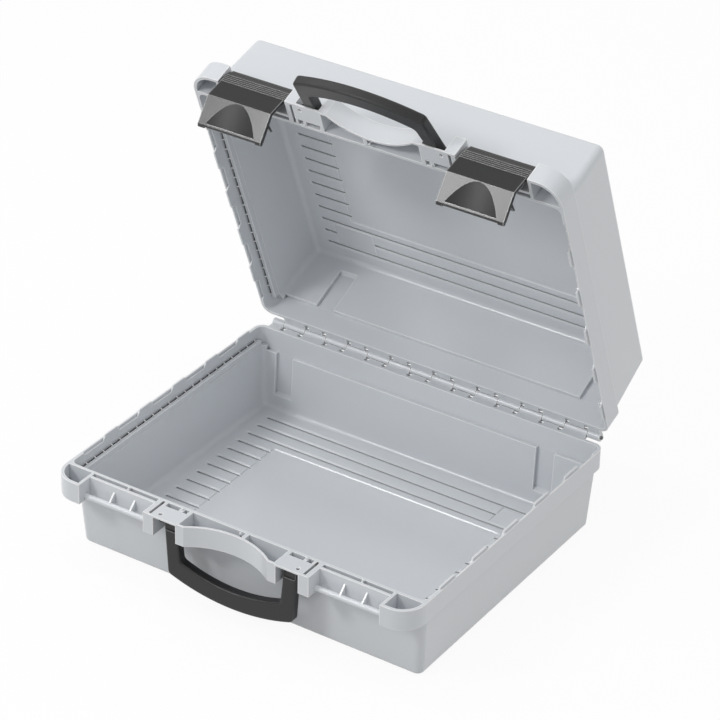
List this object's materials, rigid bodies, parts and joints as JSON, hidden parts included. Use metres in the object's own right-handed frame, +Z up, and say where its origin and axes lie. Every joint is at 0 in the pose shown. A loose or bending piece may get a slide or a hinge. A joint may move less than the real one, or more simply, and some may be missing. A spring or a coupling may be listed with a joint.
{
  "type": "hard tool case",
  "caption": "Rigid plastic carrying case: two identical drafted tray halves on a rear hinge rod, snap latches on the lid's front, a bail handle on each half, ribbed floors.",
  "frame": {"origin": "centre of the flat underside of the base, on the surface it stands on", "axes": "+X to the right of someone facing the latches, +Y from the latches to the hinge, +Z up; the lid is shown partly open as in the picture"},
  "size_m": [0.35, 0.3751, 0.4077],
  "materials": {
    "grey_plastic": "light cool grey injection-moulded plastic, fine satin grain",
    "black_plastic": "charcoal black moulded plastic, satin",
    "rod_steel": "plain drawn steel wire"
  },
  "bodies": {
    "base": {"base_shell": "grey_plastic", "hinge_rod": "rod_steel"},
    "lid": {"lid_shell": "grey_plastic"},
    "left_latch": {"latch_left": "black_plastic"},
    "right_latch": {"latch_right": "black_plastic"},
    "lower_handle": {"handle_lower": "black_plastic"},
    "upper_handle": {"handle_upper": "black_plastic"}
  },
  "joints": [
    {"name": "lid_hinge", "type": "hinge", "parent": "base", "child": "lid", "pos_m": [0, 0.14555, 0.0785], "axis": [-1, 0, 0], "range_deg": [-68.76, 111.24]},
    {"name": "left_latch_pivot", "type": "hinge", "parent": "lid", "child": "left_latch", "pos_m": [-0.11375, 0.05102, 0.36201], "axis": [-1, 0, 0], "range_deg": [0, 80]},
    {"name": "right_latch_pivot", "type": "hinge", "parent": "lid", "child": "right_latch", "pos_m": [0.11375, 0.05102, 0.36201], "axis": [-1, 0, 0], "range_deg": [0, 80]},
    {"name": "lower_handle_pivot", "type": "hinge", "parent": "base", "child": "lower_handle", "pos_m": [0, -0.15195, 0.0695], "axis": [-1, 0, 0], "range_deg": [0, 80]},
    {"name": "upper_handle_pivot", "type": "hinge", "parent": "lid", "child": "upper_handle", "pos_m": [0, 0.04616, 0.35905], "axis": [-1, 0, 0], "range_deg": [0, 104]}
  ]
}
